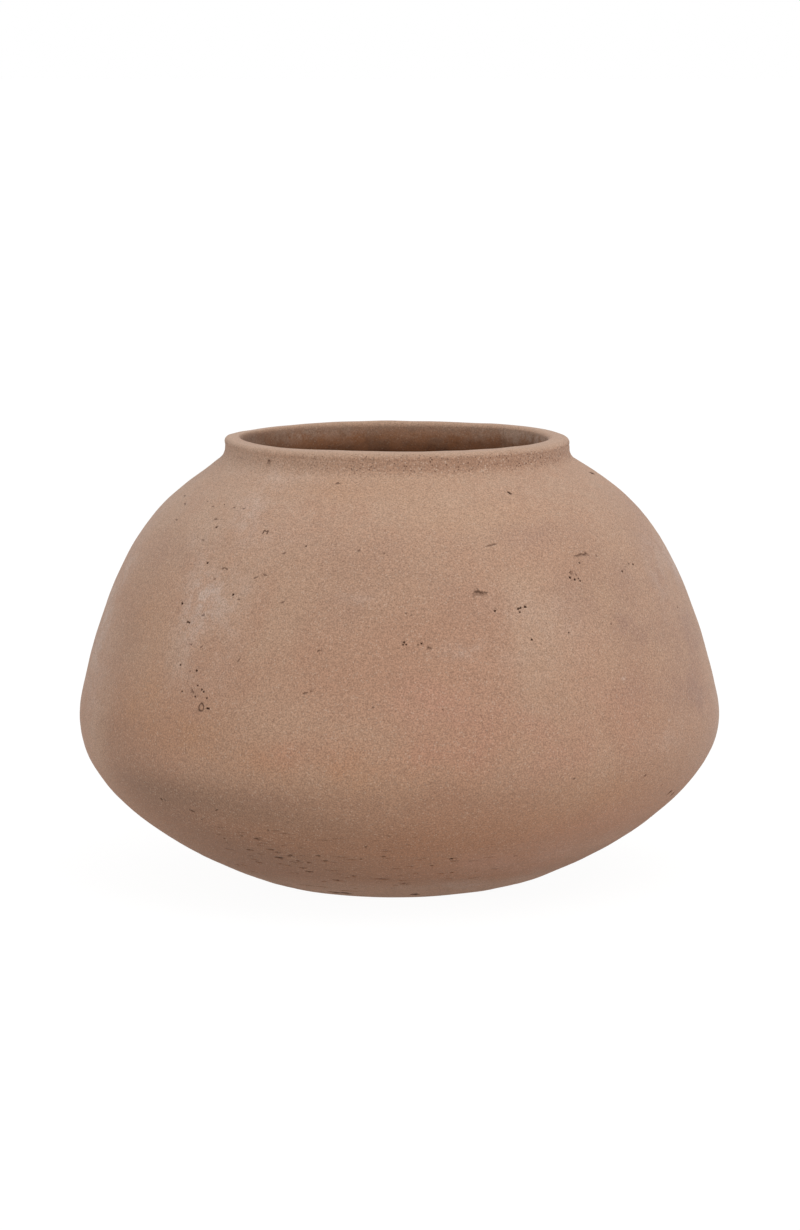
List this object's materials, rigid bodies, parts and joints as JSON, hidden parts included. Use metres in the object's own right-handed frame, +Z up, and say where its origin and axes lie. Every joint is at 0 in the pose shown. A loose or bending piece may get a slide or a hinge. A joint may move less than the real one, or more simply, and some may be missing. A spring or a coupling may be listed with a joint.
{
  "type": "terracotta floor vase",
  "caption": "Wide, low unglazed terracotta floor vase with a soft belly keel, domed shoulder, short collar with a soft lip round an open mouth, and a small flat base.",
  "frame": {"origin": "on the floor, at the centre of the flat base, on the axis of the pot", "axes": "+Z up the axis through the mouth; the pot is round, and -Y is the side that the picture shows"},
  "size_m": [0.42, 0.42, 0.2901],
  "materials": {
    "terracotta": "matt unglazed terracotta with a fine sandy grain and pale salt bloom",
    "slip": "matt fired clay slip inside the seams"
  },
  "bodies": {
    "root": {"rim_collar": "terracotta", "shoulder_dome": "terracotta", "flank_wall": "terracotta", "upper_bowl": "terracotta", "lower_bowl": "terracotta", "base_slab": "terracotta", "neck_slip_ring": "slip", "flank_slip_ring": "slip", "belly_slip_ring": "slip", "bowl_slip_ring": "slip", "base_slip_ring": "slip"}
  },
  "joints": []
}
